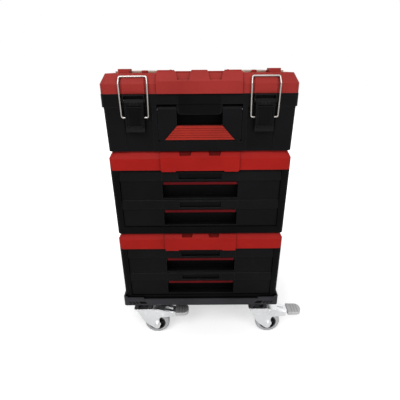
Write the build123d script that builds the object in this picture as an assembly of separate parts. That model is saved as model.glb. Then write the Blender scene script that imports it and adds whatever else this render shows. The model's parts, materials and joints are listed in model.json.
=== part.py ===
from build123d import *
import os

# Rolling stackable tool box. Millimetres, +Z up, front towards -Y, origin on the
# floor under the middle of the stack.

# Whole stack
body_width = 468
body_depth = 360
corner_radius = 14
wall = 3
body_clearance = 0.3
fit_gap = 0.08
front_y = -body_depth / 2
rear_y = body_depth / 2

# Casters
wheel_radius = 40
tyre_width = 24
tyre_shoulder = 4
hub_radius = 27
hub_width = 27
hub_web = 5
hub_rim = 4
hub_boss = 5
hub_spokes = 5
spoke_thick = 3
axle_radius = 4
nut_radius = 7
nut_height = 4.5
trail = 37.5
swivel_x = 181.5
swivel_y = 148
fork_inner = 15
fork_sheet = 2.4
fork_arm_top = 85
fork_arm_low = 71
fork_knee_z = 67
fork_knee_out = 12
fork_web_z = 60
fork_toe_z = 52
plate_side = 60
plate_thick = 3
plate_top = 112
bolt_spread = 21
bolt_radius = 3
bolt_head_height = 4
bolt_head_radius = 5.6
bolt_length = 14
race_radius = 22
race_height = 5.5
kingpin_radius = 5
crown_top = 100
crown_thick = 3
pedal_pivot_x = 40
pedal_pivot_z = 90
pedal_pin_radius = 2.5
pedal_sheet = 2.4
pedal_play = 0.7
pedal_rise = 6
pedal_heel = 6
pedal_flat = 18
toe_depth = 7
pad_start = 98.5
pad_end = 141.5
pad_width = 40
pad_thick = 11
pad_top = 88
pad_skin = 12
pad_cover = 1
pad_ribs = 3
pad_corner = 17
caster_turns = {"front_left": 0, "front_right": 0, "rear_left": 165, "rear_right": 190}

# Dolly
dolly_width = 474
dolly_depth = 372
dolly_corner = 8
lip_bottom = 136
lip_top = 159
corner_lip_top = 167
seat_z = 149
deck_thick = 4
deck_rib = 3
post_radius = 6.5
post_web = 3
lip_thick = 4
corner_lip_length = 62
front_lip_step = 5
rib_pitch_x = 55
rib_pitch_y = 45
chevrons = 3
chevron_height = 9.5
chevron_lean = 8
chevron_width = 5
chevron_pitch = 10
chevron_wide = 21
chevron_start = 14
chevron_depth = 3

# Drawer cabinets
cabinet_pitch = 235.5
cabinet_draft = 1.5
cap_bottom = 185.8
cap_ridge = 216.2
cap_inset = 10
plinth_height = 5
plinth_margin = 26
plinth_play = 1.5
opening_width = 423
opening_bottom = 20.5
opening_top = 183
drawer_gap = 1.2
runner_width = 8
runner_thick = 3
shell_floor = 3
neck_drop = 4
grooves = 4
groove_width = 14
groove_pitch = 70

# Drawers
front_thick = 36
front_wall = 2.6
band_start = 54
band_proud = 4
band_lean = 3
slot_width = 112
slot_height = 15
slot_depth = 5
slot_start = 59.5
pod_width = 202
pod_proud = 1.2
thumb_width = 20
thumb_depth = 3
recess_width = 200
recess_start = 4.5
recess_depth = 28
strip_width = 192
strip_height = 7.2
strip_start = 43.2
strip_proud = 2
tray_wall = 2.4
tray_length = 296
tray_side_gap = 2.4
tray_height = 68

# Cap and lid centre panel
centre_width = 201
centre_proud = 6
centre_rise = 6
notch_width = 35
notch_offset = 37.5
lobe_width = 36
lobe_drop = 2.6

# Top box
tub_height = 137.5
tub_draft = 2
tub_margin = 3
rim_height = 30
rim_proud = 4
channel_inner = 115
channel_outer = 183
channel_depth = 3
lid_skirt = 22.3
lid_bevel = 22.7
lid_inset = 11
hinge_offset = 6
hinge_radius = 5.6
hinge_pin_radius = 2.5
hinge_spread = 130
knuckle_length = 18
knuckle_gap = 0.4

# Front handle
handle_width = 204
arm_width = 46
arm_top = 110
handle_drop = 84
handle_thick = 17
handle_pin_radius = 3
handle_pin_drop = 8.5
handle_pin_grip = 12
grip_height = 33.5
grip_proud = 2
grip_ribs = 6
grip_depth = 12
grip_flare = 30
handle_recess_depth = 19
handle_play = 1.5
handle_play_front = 1
handle_headroom = 4
grip_margin = 3
window_height = 24
window_corner = 6
finger_depth = 26

# Draw latches
latch_x = 155
lever_width = 45
lever_thick = 9
lever_drop = 73
lever_pivot = 123
bail_pivot_drop = 39
bail_height = 92
bail_radius = 2
bail_width = 67
ear_thick = 3.5
ear_play = 0.6
latch_pin_radius = 2
latch_pin_out = 4.5
keeper_width = 52
keeper_proud = 2.4

# Lid organisers
rest_width = 168
rest_front = 50
rest_rear = 30
rest_rise = 0.8
well_width = 104
well_length = 262
well_depth = 24
well_x = 148
well_bays = 3
cover_thick = 2.2
cover_rise = 4
cover_barrel = 2.1
cover_pin_radius = 1.3
divider_thick = 1.6
block_width = 26
block_rise = 9.5
block_offset = 28
centre_rib_rise = 4
cover_margin = 3
cover_hinge_gap = 4
lug_length = 5

# Lift-out tote tray
tote_height = 52
tote_ledge = 6
tote_seat = 66
tote_play = 3
tote_setback = 12

# Sizes worked out from the ones above
drawer_height = (opening_top - opening_bottom - 3 * drawer_gap) / 2
drawer_bottoms = [opening_bottom + drawer_gap, opening_bottom + 2 * drawer_gap + drawer_height]
cabinet_z = [seat_z, seat_z + cabinet_pitch]
tub_z = seat_z + 2 * cabinet_pitch
seam_z = tub_z + tub_height
lid_ridge = seam_z + lid_skirt
lid_top = lid_ridge + lid_bevel
cap_top = cabinet_pitch - body_clearance
plinth_width = body_width - 2 * plinth_margin
plinth_depth = body_depth - 2 * plinth_margin
front_face = front_y + band_proud
hinge_y = rear_y + hinge_offset
handle_y = front_y + handle_play_front
handle_pin_y = handle_y + handle_thick / 2
handle_pin_z = tub_z + arm_top - handle_pin_drop
grip_low = tub_z + arm_top - handle_drop + grip_margin
latch_pin_y = front_y - latch_pin_out


def block(x0, x1, y0, y1, z0, z1):
    """A box between two corners."""
    box = Box(x1 - x0, y1 - y0, z1 - z0)
    return Pos((x0 + x1) / 2, (y0 + y1) / 2, (z0 + z1) / 2) * box


def rounded_block(width, depth, radius, z0, z1):
    """A centred upright prism with rounded corners."""
    return Pos(0, 0, z0) * extrude(RectangleRounded(width, depth, radius), z1 - z0)


def drafted(width0, depth0, width1, depth1, radius, z0, z1):
    """A centred shell form whose size changes from z0 to z1."""
    low = Pos(0, 0, z0) * RectangleRounded(width0, depth0, radius)
    high = Pos(0, 0, z1) * RectangleRounded(width1, depth1, radius)
    return loft([low, high])


def rod(x, y, z, radius, length, along="Z"):
    """A cylinder centred on a point, along one axis."""
    turn = {"X": Rot(0, 90, 0), "Y": Rot(90, 0, 0), "Z": Rot(0, 0, 0)}[along]
    return Pos(x, y, z) * turn * Cylinder(radius, length)


def side_profile(points, x0, x1):
    """Extrude an outline given in Y and Z from x0 to x1."""
    face = make_face(Plane.YZ * Polyline(*points, close=True))
    return Pos(x0, 0, 0) * extrude(face, x1 - x0, dir=(1, 0, 0))


def front_profile(points, y0, y1):
    """Extrude an outline given in X and Z from y0 to y1."""
    face = make_face(Polyline(*[(x, y0, z) for x, z in points], close=True))
    return extrude(face, y1 - y0, dir=(0, 1, 0))


def mirrored(shape):
    """The shape with its mirror image across the middle plane."""
    return shape + mirror(shape, Plane.YZ)


def first_solid(shape):
    """The largest solid of a result that may come back as a list."""
    return sorted(shape.solids(), key=lambda s: s.volume)[-1]


# Casters, in their own frame: swivel axis upright at x = y = 0, wheel trailing to +X

def make_tyre():
    half = tyre_width / 2
    shoulder = tyre_shoulder
    outline = make_face(Plane.XZ * Polyline(
        (hub_radius, -half),
        (wheel_radius - shoulder, -half),
        (wheel_radius - 1, -half + shoulder),
        (wheel_radius, 0),
        (wheel_radius - 1, half - shoulder),
        (wheel_radius - shoulder, half),
        (hub_radius, half),
        close=True,
    ))
    ring = revolve(outline, Axis.Z)
    return Pos(trail, 0, wheel_radius) * Rot(90, 0, 0) * ring


def make_hub():
    inside = hub_radius - hub_rim
    hub = Cylinder(hub_radius, tyre_width) - Cylinder(inside, tyre_width)
    hub += Cylinder(inside, hub_web) + Cylinder(axle_radius + hub_boss, hub_width)
    for index in range(hub_spokes):
        spoke = Pos(inside / 2, 0, 0) * Box(inside, spoke_thick, tyre_width - 4)
        hub += Rot(0, 0, 360 / hub_spokes * index) * spoke
    hub -= Cylinder(axle_radius + fit_gap, hub_width)
    return Pos(trail, 0, wheel_radius) * Rot(90, 0, 0) * hub


def make_axle():
    length = 2 * (fork_inner + fork_sheet) + 1
    nut = extrude(RegularPolygon(nut_radius, 6), nut_height)
    shaft = Cylinder(axle_radius, length)
    axle = shaft + Pos(0, 0, length / 2 - 0.5) * nut
    axle += Pos(0, 0, -length / 2 + 0.5 - nut_height) * nut
    return Pos(trail, 0, wheel_radius) * Rot(90, 0, 0) * axle


def make_fork():
    inner = fork_inner
    outer = fork_inner + fork_sheet
    crown_bottom = crown_top - crown_thick
    arm_end = pad_start - 6
    leg = front_profile([
        (-race_radius, crown_bottom - 6),
        (-race_radius, crown_top),
        (trail + 8, crown_top),
        (arm_end, fork_arm_top),
        (arm_end, fork_arm_low),
        (trail + fork_knee_out, fork_knee_z),
        (trail + 8, fork_web_z),
        (trail + 8, wheel_radius - 15),
        (trail + 2, wheel_radius - 20),
        (trail - 6, wheel_radius - 19),
        (trail - 27, wheel_radius - 2),
        (-3, fork_toe_z),
    ], inner, outer)
    legs = leg + mirror(leg, Plane.XZ)
    crown = block(-race_radius, pedal_pivot_x - 10, -inner, inner, crown_bottom, crown_top)
    race = Pos(0, 0, crown_top) * Cone(
        race_radius - 1, race_radius - 5, race_height, align=(Align.CENTER, Align.CENTER, Align.MIN)
    )
    fork = legs + crown + race
    fork -= rod(0, 0, crown_top, kingpin_radius + fit_gap, 30)
    fork -= rod(trail, 0, wheel_radius, axle_radius, 4 * outer, "Y")
    fork -= rod(pedal_pivot_x, 0, pedal_pivot_z, pedal_pin_radius + fit_gap, 4 * outer, "Y")
    return fork


def make_plate():
    half = plate_side / 2
    bottom = plate_top - plate_thick
    plate = rounded_block(plate_side, plate_side, 6, bottom, plate_top)
    ring_bottom = crown_top + race_height + body_clearance
    plate += Pos(0, 0, ring_bottom) * Cylinder(
        race_radius, bottom - ring_bottom, align=(Align.CENTER, Align.CENTER, Align.MIN)
    )
    head_top = crown_top - crown_thick - body_clearance
    pin_length = plate_top - head_top
    plate += rod(0, 0, head_top + pin_length / 2, kingpin_radius, pin_length)
    plate += rod(0, 0, head_top - 1.5, kingpin_radius + 3, 3)
    for x in (-bolt_spread, bolt_spread):
        for y in (-bolt_spread, bolt_spread):
            plate -= rod(x, y, plate_top, bolt_radius, 4 * plate_thick)
    return plate


def make_bolts():
    bottom = plate_top - plate_thick
    bolts = []
    for x in (-bolt_spread, bolt_spread):
        for y in (-bolt_spread, bolt_spread):
            head = Pos(x, y, bottom - bolt_head_height) * extrude(
                RegularPolygon(bolt_head_radius, 6), bolt_head_height
            )
            shank = rod(x, y, bottom + bolt_length / 2, bolt_radius, bolt_length)
            bolts.append(head + shank)
    return bolts


def pedal_outline(lower):
    """The pressed steel pedal from the side: flat over the pivot, sloping to the pad."""
    heel = pedal_pivot_x - pedal_heel
    bend = pedal_pivot_x + pedal_flat
    knee = pad_start - 1
    toe = pad_end - pad_skin
    top = pedal_pivot_z + pedal_rise
    upper = [(heel, top), (bend, top), (knee, pad_top - pad_cover), (toe, pad_top - pad_cover)]
    return upper + lower


def make_pedal():
    half = fork_inner - pedal_play
    top = pedal_pivot_z + pedal_rise
    shoe = 2 * wheel_radius + 3
    sheet = pedal_sheet
    heel = pedal_pivot_x - pedal_heel
    bend = pedal_pivot_x + pedal_flat
    knee = pad_start - 1
    toe = pad_end - pad_skin
    toe_low = pad_top - pad_cover - toe_depth
    plate = front_profile(pedal_outline([
        (toe, pad_top - pad_cover - sheet),
        (knee, pad_top - pad_cover - sheet),
        (bend, top - sheet),
        (heel, top - sheet),
    ]), -half, half)
    side = front_profile(pedal_outline([
        (toe, toe_low),
        (pad_start - 5, toe_low),
        (bend + 4, shoe),
        (pedal_pivot_x + 6, shoe),
        (heel, pedal_pivot_z - 4),
    ]), half - sheet, half)
    slot = block(bend + 8, pad_start - 8, -4, 4, toe_low, top + 1)
    pin_length = 2 * (fork_inner + fork_sheet) + 2
    pin = rod(pedal_pivot_x, 0, pedal_pivot_z, pedal_pin_radius, pin_length, "Y")
    return plate - slot + side + mirror(side, Plane.XZ) + pin


def make_pad():
    half = fork_inner - pedal_play
    length = pad_end - pad_start
    low = pad_top - pad_thick
    pad = Pos((pad_start + pad_end) / 2, 0, low) * extrude(
        RectangleRounded(length, pad_width, pad_corner), pad_thick + 1
    )
    pad += block(
        pad_start, pad_start + pad_corner, -pad_width / 2, pad_width / 2, low, pad_top + 1
    )
    toe_top = pad_top - pad_cover
    pad -= block(0, pad_end - pad_skin, -half, half, toe_top - toe_depth, toe_top)
    for index in range(pad_ribs):
        x = pad_start + 11 + 9 * index
        pad -= block(x, x + 3, -pad_width, pad_width, pad_top + 0.2, pad_top + 2)
    return pad


def placed(shape, name, turned=True):
    """Move a caster piece to its corner, turned with the fork or square to the deck."""
    side, hand = name.split("_")
    x = swivel_x if hand == "right" else -swivel_x
    y = -swivel_y if side == "front" else swivel_y
    angle = caster_turns[name] if turned else 0
    return Pos(x, y, 0) * Rot(0, 0, angle) * shape


# Dolly

def make_deck():
    low = lip_bottom
    deck = rounded_block(dolly_width, dolly_depth, dolly_corner, low, lip_top)
    inner_width = dolly_width - 2 * lip_thick
    inner_depth = dolly_depth - 2 * lip_thick
    top = seat_z - body_clearance
    inner_corner = dolly_corner - lip_thick
    deck -= rounded_block(inner_width, inner_depth, inner_corner, top, lip_top + 1)
    deck -= rounded_block(inner_width, inner_depth, inner_corner, low - 1, top - deck_thick)
    pocket = rounded_block(
        plinth_width + 2 * plinth_play, plinth_depth + 2 * plinth_play, 10,
        top - plinth_height - 1, top + 1,
    )
    pocket_tray = rounded_block(
        plinth_width + 2 * plinth_play + 2 * wall, plinth_depth + 2 * plinth_play + 2 * wall, 12,
        top - plinth_height - 1 - deck_thick, top,
    )
    deck += pocket_tray
    corner = corner_lip_length
    high = corner_lip_top + 1
    raised = rounded_block(dolly_width, dolly_depth, dolly_corner, lip_top, corner_lip_top)
    raised -= rounded_block(inner_width, inner_depth, inner_corner, lip_top - 1, high)
    raised -= block(-dolly_width, dolly_width, -dolly_depth / 2 + corner, dolly_depth / 2 - corner, 0, high)
    raised -= block(-dolly_width / 2 + corner, dolly_width / 2 - corner, -dolly_depth, dolly_depth, 0, high)
    front_cut = dolly_depth / 2 - 2 * lip_thick
    front_top = lip_top + front_lip_step
    for y0, y1 in ((-dolly_depth, -front_cut), (front_cut, dolly_depth)):
        raised -= block(
            -dolly_width / 2 + 12, dolly_width / 2 - 12, y0, y1, front_top, 2 * front_top
        )
    deck += raised
    rib_top = top - deck_thick
    post_length = rib_top - plate_top
    for x in (-swivel_x, swivel_x):
        for y in (-swivel_y, swivel_y):
            for dx in (-bolt_spread, bolt_spread):
                for dy in (-bolt_spread, bolt_spread):
                    deck += rod(x + dx, y + dy, plate_top + post_length / 2, post_radius, post_length)
                deck += block(
                    x + dx - post_web / 2, x + dx + post_web / 2, y - bolt_spread, y + bolt_spread,
                    plate_top, rib_top,
                )
    inner_half = inner_width / 2 + 1
    for index in range(-2, 3):
        y = rib_pitch_y * index
        deck += block(-inner_half, inner_half, y - deck_rib / 2, y + deck_rib / 2, low, rib_top)
    for index in range(-3, 4):
        x = rib_pitch_x * index
        deck += block(
            x - deck_rib / 2, x + deck_rib / 2, -inner_depth / 2 - 1, inner_depth / 2 + 1, low, rib_top
        )
    deck -= pocket
    for x in (-swivel_x, swivel_x):
        for y in (-swivel_y, swivel_y):
            for dx in (-bolt_spread, bolt_spread):
                for dy in (-bolt_spread, bolt_spread):
                    deck -= rod(x + dx, y + dy, plate_top, bolt_radius, 2 * bolt_length)
    low = lip_bottom + 5
    high = low + chevron_height
    slashes = [(chevron_pitch * index, chevron_width) for index in range(chevrons)]
    slashes.append((chevron_pitch * chevrons, chevron_wide))
    for start, width in slashes:
        outer = dolly_width / 2 - chevron_start - start
        slash = front_profile([
            (outer, high),
            (outer - chevron_lean, low),
            (outer - chevron_lean - width, low),
            (outer - width, high),
        ], -dolly_depth / 2 - 1, -dolly_depth / 2 + chevron_depth)
        deck -= mirrored(slash)
    return first_solid(deck)


# Drawer cabinets, in their own frame: bottom of the shell at z = 0

def make_shell():
    low_width = body_width - 2 * cabinet_draft
    low_depth = body_depth - cabinet_draft
    top = cap_bottom
    neck = wall + body_clearance / 3
    shell = drafted(low_width, low_depth, body_width, body_depth, corner_radius, 0, top)
    shell += rounded_block(
        body_width - 2 * neck, body_depth - 2 * neck, corner_radius - wall, top, cap_ridge - neck_drop
    )
    inner_low = low_width - 2 * wall
    shell -= drafted(
        inner_low, low_depth - 2 * wall, body_width - 4 * wall, body_depth - 4 * wall,
        corner_radius - wall, shell_floor, cap_ridge,
    )
    half = opening_width / 2
    shell -= block(-half, half, -body_depth, 0, opening_bottom, opening_top)
    shell += rounded_block(plinth_width, plinth_depth, 9, -plinth_height, 1)
    shell -= rounded_block(plinth_width - 2 * wall, plinth_depth - 2 * wall, 7, -plinth_height - 1, 0)
    inner_half = body_width / 2 - cabinet_draft - wall + 1
    runner_inner = opening_width / 2 - tray_side_gap - runner_width
    guide_rear = rear_y - wall - 1
    runner_start = front_y + front_thick + 1
    for bottom in drawer_bottoms:
        seat = bottom + front_wall + 1 - body_clearance
        over = seat + body_clearance * 2 + tray_height
        for z in (seat - runner_thick, over):
            rail = block(runner_inner, inner_half, runner_start, guide_rear, z, z + runner_thick)
            shell += mirrored(rail)
    for index in range(grooves):
        y = front_y + groove_pitch * (index + 1)
        shell -= mirrored(block(
            body_width / 2 - 1.6, body_width, y - groove_width / 2, y + groove_width / 2,
            16, cap_bottom - 18,
        ))
    return first_solid(shell)


def centre_panel(bottom, ridge, top, inset):
    """The proud panel in the middle of a cap or lid front, with its two notches."""
    half = centre_width / 2
    proud = front_y - centre_proud
    panel = side_profile([
        (front_y + inset + 4, bottom),
        (proud, bottom),
        (proud, ridge),
        (front_y + inset - 1, top),
        (front_y + inset + 4, top),
    ], -half, half)
    narrow = notch_width / 2 - 4
    notch = front_profile([
        (notch_offset - notch_width / 2, top + 1),
        (notch_offset + notch_width / 2, top + 1),
        (notch_offset + narrow, ridge + 2),
        (notch_offset - narrow, ridge + 2),
    ], proud - 1, front_y + inset + 5)
    return panel - mirrored(notch)


def make_cap():
    top = cap_top
    cap = rounded_block(body_width, body_depth, corner_radius, cap_bottom, cap_ridge)
    inset = 2 * cap_inset
    cap += drafted(
        body_width, body_depth, body_width - inset, body_depth - inset, corner_radius, cap_ridge, top
    )
    cap += centre_panel(cap_bottom, cap_ridge + centre_rise, top, cap_inset)
    lobe_x = centre_width / 2 - lobe_width - 2
    proud = front_y - centre_proud
    lobe = block(lobe_x, lobe_x + lobe_width, proud, front_y - 1, cap_bottom - lobe_drop, cap_bottom + 1)
    cap += mirrored(lobe)
    cavity = rounded_block(
        body_width - 2 * wall, body_depth - 2 * wall, corner_radius - wall,
        cap_bottom - 1, cap_ridge - neck_drop,
    )
    cavity += drafted(
        body_width - 2 * wall, body_depth - 2 * wall, body_width - inset, body_depth - inset,
        corner_radius - wall, cap_ridge - neck_drop, top - plinth_height - 1 - wall,
    )
    cap -= cavity
    cap -= rounded_block(
        plinth_width + 2 * plinth_play, plinth_depth + 2 * plinth_play, 10,
        top - plinth_height - 1, top + 1,
    )
    return first_solid(cap)


def make_drawer_front(bottom):
    half = (opening_width / 2) - 1
    top = bottom + drawer_height
    back = front_y + front_thick
    proud = front_face - band_proud
    front = side_profile([
        (back, bottom),
        (front_face, bottom),
        (front_face, bottom + band_start - 1),
        (proud, bottom + band_start + 1),
        (proud + band_lean, top - 1),
        (proud + band_lean + 1, top),
        (back, top),
    ], -half, half)
    pod_face = proud - pod_proud
    front += side_profile([
        (front_face, bottom + band_start),
        (pod_face, bottom + band_start + 1),
        (pod_face + band_lean, top - 1),
        (front_face, top - 1),
    ], -pod_width / 2, pod_width / 2)
    skin = front_wall
    front -= block(
        -half + skin, half - skin, front_face + skin, back + 1, bottom + skin, top - skin
    )
    box_half = recess_width / 2 + skin
    recess_top = bottom + strip_start + strip_height
    housing = block(
        -box_half, box_half, front_face, front_face + recess_depth + skin,
        bottom + recess_start - skin, recess_top + skin,
    )
    front += housing
    front -= block(
        -recess_width / 2, recess_width / 2, front_face - 10, front_face + recess_depth,
        bottom + recess_start, bottom + strip_start,
    )
    ledge = strip_width / 2
    front -= block(
        -ledge, ledge, front_face - 10, front_face + skin, bottom + strip_start - 1, recess_top
    )
    slot = block(
        -slot_width / 2, slot_width / 2, proud - 10, proud + slot_depth,
        bottom + slot_start, bottom + slot_start + slot_height,
    )
    slot_back = block(
        -slot_width / 2 - skin, slot_width / 2 + skin, front_face, proud + slot_depth + skin,
        bottom + slot_start - skin, bottom + slot_start + slot_height + skin,
    )
    front += slot_back
    front -= slot
    front -= block(
        -thumb_width / 2, thumb_width / 2, proud - 10, proud + slot_depth / 2,
        bottom + slot_start - thumb_depth, bottom + slot_start + 1,
    )
    return first_solid(front)


def make_drawer_tray(bottom):
    half = opening_width / 2 - tray_side_gap
    start = front_y + front_thick
    floor = bottom + front_wall + 1
    end = start + tray_length
    tray = block(-half, half, start, end, floor, floor + tray_height)
    tray -= block(
        -half + tray_wall, half - tray_wall, start + tray_wall, end - tray_wall,
        floor + tray_wall, floor + tray_height + 1,
    )
    return tray


def make_accent(bottom):
    half = strip_width / 2
    low = bottom + strip_start
    high = low + strip_height
    face = front_face - strip_proud
    return side_profile([
        (front_face + front_wall, low),
        (face, low),
        (face - 0.8, low + 2),
        (face, high - 1),
        (front_face + front_wall, high),
    ], -half, half)


# Top box

def make_tub():
    low_width = body_width - 2 * tub_margin
    low_depth = body_depth - tub_margin
    high_width = low_width + 2 * tub_draft
    high_depth = body_depth - body_clearance
    rim_z = tub_height - rim_height
    tub = drafted(low_width, low_depth, high_width, high_depth, corner_radius, 0, tub_height)
    channel = block(
        channel_inner, channel_outer, -body_depth, front_y + channel_depth, -1, rim_z
    )
    tub -= mirrored(channel)
    rim = rounded_block(body_width + rim_proud, body_depth, corner_radius, rim_z, tub_height)
    tub += rim
    cavity = drafted(
        low_width - 2 * wall, low_depth - 2 * wall, high_width - 2 * wall, high_depth - 2 * wall,
        corner_radius - wall, shell_floor, tub_height + 1,
    )
    cavity -= mirrored(block(
        channel_inner - wall, channel_outer + wall, -body_depth, front_y + channel_depth + wall,
        -1, rim_z + wall,
    ))
    recess_half = handle_width / 2 + handle_play
    recess_low = arm_top - handle_drop - handle_play
    recess_high = arm_top + handle_headroom
    recess_back = front_y + handle_recess_depth
    cavity -= block(
        -recess_half - wall, recess_half + wall, -body_depth, recess_back + wall,
        recess_low - wall, recess_high + wall,
    )
    finger_half = handle_width / 2 - arm_width
    cavity -= block(
        -finger_half - wall, finger_half + wall, -body_depth, recess_back + finger_depth + wall,
        recess_low - wall, recess_high - window_height + 2,
    )
    tub -= cavity
    tub -= block(-recess_half, recess_half, -body_depth, recess_back, recess_low, recess_high)
    tub -= block(
        -finger_half, finger_half, -body_depth, recess_back + finger_depth,
        recess_low, recess_high - window_height + 2 - wall,
    )
    window_low = recess_high - window_height
    corner = window_corner
    window = front_profile([
        (-finger_half + 1 + corner, window_low),
        (finger_half - 1 - corner, window_low),
        (finger_half - 1, window_low + corner),
        (finger_half - 1, recess_high + 1),
        (-finger_half + 1, recess_high + 1),
        (-finger_half + 1, window_low + corner),
    ], front_y + 3, recess_back + 1)
    tub += window
    tub += rounded_block(plinth_width, plinth_depth, 9, -plinth_height, 1)
    tub -= rounded_block(plinth_width - 2 * wall, plinth_depth - 2 * wall, 7, -plinth_height - 1, 0)
    ledge_inner = low_width / 2 - wall - tote_ledge
    ledge = block(
        ledge_inner, low_width / 2 - 1, -low_depth / 2 + 60, low_depth / 2 - wall,
        tote_seat - wall - body_clearance, tote_seat - body_clearance,
    )
    tub += mirrored(ledge)
    pin_z = handle_pin_z - tub_z
    for sign in (-1, 1):
        tub -= rod(sign * (recess_half + wall / 2), handle_pin_y, pin_z, handle_pin_radius, wall + 1, "X")
    for sign in (-1, 1):
        for side in (-1, 1):
            x = sign * hinge_spread + side * (knuckle_length + knuckle_gap)
            tub += rod(x, hinge_y, tub_height, hinge_radius, knuckle_length, "X")
            tub += side_profile([
                (rear_y - 1, tub_height - 16),
                (rear_y - 1, tub_height),
                (hinge_y, tub_height),
                (hinge_y + hinge_radius, tub_height),
                (rear_y, tub_height - 16),
            ], x - knuckle_length / 2, x + knuckle_length / 2)
        tub -= rod(sign * hinge_spread, hinge_y, tub_height, hinge_pin_radius, 4 * knuckle_length, "X")
        tub -= rod(
            sign * hinge_spread, hinge_y, tub_height, hinge_radius + body_clearance,
            knuckle_length + 2 * knuckle_gap, "X",
        )
    return Pos(0, 0, tub_z) * first_solid(tub)


def make_lid():
    low = seam_z + body_clearance
    lid = rounded_block(body_width + 2, body_depth, corner_radius, low, lid_ridge)
    lid += drafted(
        body_width + 2, body_depth, body_width - 2 * lid_inset, body_depth - 2 * lid_inset,
        corner_radius, lid_ridge, lid_top,
    )
    rib_top = lid_top + centre_rib_rise
    lid += centre_panel(low, lid_ridge + centre_rise, rib_top, lid_inset)
    half = centre_width / 2
    lid += block(-half, half, front_y + lid_inset + 3, front_y + lid_inset + 24, lid_top - 1, rib_top)
    top_inside = lid_top - wall
    cavity = rounded_block(
        body_width - 2 * wall, body_depth - 2 * wall, corner_radius - wall, low - 1, lid_ridge
    )
    cavity += drafted(
        body_width - 2 * wall, body_depth - 2 * wall,
        body_width - 2 * lid_inset - 2 * wall, body_depth - 2 * lid_inset - 2 * wall,
        corner_radius - wall, lid_ridge, top_inside,
    )
    for sign in (-1, 1):
        cavity -= block(
            sign * well_x - well_width / 2 - wall, sign * well_x + well_width / 2 + wall,
            -well_length / 2 - wall, well_length / 2 + wall, lid_top - well_depth - wall, lid_top,
        )
    lid -= cavity
    for sign in (-1, 1):
        lid -= block(
            sign * well_x - well_width / 2, sign * well_x + well_width / 2,
            -well_length / 2, well_length / 2, lid_top - well_depth, lid_top + 10,
        )
        for index in range(1, well_bays):
            y = -well_length / 2 + index * well_length / well_bays
            lid += block(
                sign * well_x - well_width / 2 - 1, sign * well_x + well_width / 2 + 1,
                y - divider_thick / 2, y + divider_thick / 2,
                lid_top - well_depth - 1, lid_top - 2,
            )
        for lug in cover_lugs(sign):
            lid += lug
        outer = sign * (well_x + block_offset)
        lid += block(
            outer - block_width / 2, outer + block_width / 2,
            front_y + lid_inset + 1, -well_length / 2 - 4, lid_top - 1, lid_top + block_rise,
        )
    lid += block(
        -rest_width / 2, rest_width / 2, front_y + rest_front, rear_y - rest_rear,
        lid_top - 1, lid_top + rest_rise,
    )
    lean = lid_inset / lid_bevel
    pad_top_z = lid_top - 1
    for sign in (-1, 1):
        lid += side_profile([
            (front_y + 1, low),
            (front_y - keeper_proud, low),
            (front_y - keeper_proud, lid_ridge),
            (front_y - keeper_proud + lean * (pad_top_z - lid_ridge), pad_top_z),
            (front_y + lid_inset, pad_top_z),
            (front_y + 1, lid_ridge),
        ], sign * latch_x - keeper_width / 2, sign * latch_x + keeper_width / 2)
    for sign in (-1, 1):
        x0 = sign * hinge_spread - knuckle_length / 2
        x1 = sign * hinge_spread + knuckle_length / 2
        knuckle = rod(sign * hinge_spread, hinge_y, seam_z, hinge_radius, knuckle_length, "X")
        web = side_profile([
            (rear_y - 1, low),
            (hinge_y, seam_z + body_clearance),
            (hinge_y + hinge_radius, seam_z + body_clearance),
            (rear_y, seam_z + 14),
            (rear_y - 1, seam_z + 14),
        ], x0, x1)
        lid += knuckle + web
        lid -= rod(sign * hinge_spread, hinge_y, seam_z, hinge_pin_radius + fit_gap, knuckle_length + 2, "X")
    return first_solid(lid)


def make_hinge_pins():
    length = 3 * knuckle_length + 2 * knuckle_gap
    return [rod(s * hinge_spread, hinge_y, seam_z, hinge_pin_radius, length, "X") for s in (-1, 1)]


def grip_outline():
    """The trapezoid of the handle grip, as X and Z points."""
    low = grip_low
    high = low + grip_height
    narrow = handle_width / 2 - arm_width
    wide = narrow + grip_flare
    return [(-wide, low), (wide, low), (narrow, high), (-narrow, high)]


def make_handle():
    top = tub_z + arm_top
    bottom = top - handle_drop
    half = handle_width / 2
    inner = half - arm_width
    y0 = handle_y
    y1 = y0 + handle_thick
    bar_top = grip_low + grip_height
    frame = front_profile([
        (-half, bottom + 4),
        (-half + 4, bottom),
        (half - 4, bottom),
        (half, bottom + 4),
        (half, top - 3),
        (half - 3, top),
        (inner, top),
        (inner, bar_top),
        (-inner, bar_top),
        (-inner, top),
        (-half + 3, top),
        (-half, top - 3),
    ], y0, y1)
    side_form = block(-half, half, y0, y1, bottom, handle_pin_z)
    side_form += rod(0, handle_pin_y, handle_pin_z, handle_thick / 2, handle_width, "X")
    frame = frame & side_form
    frame -= front_profile(grip_outline(), y0 - 1, y0 + grip_depth)
    frame -= rod(0, handle_pin_y, handle_pin_z, handle_pin_radius + fit_gap, handle_width + 2, "X")
    return first_solid(frame)


def make_grip():
    y0 = handle_y - grip_proud
    grip = front_profile(grip_outline(), y0, handle_y + grip_depth)
    step = grip_height / grip_ribs
    for index in range(1, grip_ribs):
        z = grip_low + index * step
        grip -= block(-handle_width, handle_width, y0 - 1, y0 + 1, z - 0.8, z + 0.8)
    return first_solid(grip)


def make_handle_pins():
    x0 = handle_width / 2 - handle_pin_grip
    x1 = handle_width / 2 + handle_play + wall
    middle = (x0 + x1) / 2
    return [
        rod(s * middle, handle_pin_y, handle_pin_z, handle_pin_radius, x1 - x0, "X") for s in (-1, 1)
    ]


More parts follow.
